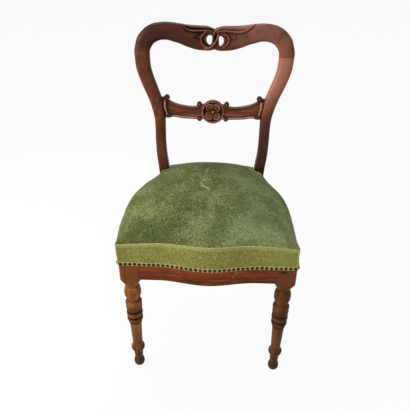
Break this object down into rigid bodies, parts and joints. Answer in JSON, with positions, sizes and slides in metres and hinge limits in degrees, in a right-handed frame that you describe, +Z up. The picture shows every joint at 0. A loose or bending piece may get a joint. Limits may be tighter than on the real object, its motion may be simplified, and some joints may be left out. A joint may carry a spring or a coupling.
{
  "type": "dining chair",
  "caption": "Side chair with an open heart-shaped back, carved crest and cross rail, stuffed velvet seat edged with nails, turned front legs and swept back legs",
  "frame": {"origin": "middle of the footprint on the floor", "axes": "front faces -Y, +Z is up, the chair is symmetric in X apart from the crest's piercings"},
  "size_m": [0.455, 0.5245, 0.8687],
  "materials": {
    "carved_wood": "glossy aged varnish on dark red-brown wood",
    "rail_wood": "glossy varnish with streaked grain",
    "leg_wood": "worn varnish on turned wood",
    "plain_wood": "raw beech",
    "steel": "plain drawn steel",
    "jute_webbing": "woven jute strap",
    "twine": "laid cord",
    "hessian": "open plain weave",
    "stuffing": "packed curled fibre",
    "velvet": "crushed olive green velvet",
    "border_velvet": "olive green velvet, paler pile",
    "bronze_nails": "dark bronzed dome heads",
    "bottom_cloth": "thin black cotton"
  },
  "bodies": {
    "root": {"crest_rail": "carved_wood", "crest_dowels": "plain_wood", "splat_rail": "carved_wood", "back_post_left": "carved_wood", "back_post_right": "carved_wood", "front_leg_left": "leg_wood", "front_leg_right": "leg_wood", "front_seat_rail": "rail_wood", "side_seat_rail_left": "rail_wood", "side_seat_rail_right": "rail_wood", "back_seat_rail": "rail_wood", "corner_block_front_left": "plain_wood", "corner_block_front_right": "plain_wood", "corner_block_rear_left": "plain_wood", "corner_block_rear_right": "plain_wood", "corner_block_screws": "steel", "webbing_lengthwise": "jute_webbing", "webbing_crosswise": "jute_webbing", "webbing_tacks": "steel", "seat_springs": "steel", "spring_lashing": "twine", "spring_hessian": "hessian", "hessian_tacks": "steel", "seat_stuffing": "stuffing", "velvet_top": "velvet", "velvet_border": "border_velvet", "front_nails": "bronze_nails", "side_nails_left": "bronze_nails", "side_nails_right": "bronze_nails", "back_nails": "bronze_nails", "bottom_cloth": "bottom_cloth", "bottom_cloth_tacks": "steel"}
  },
  "joints": []
}
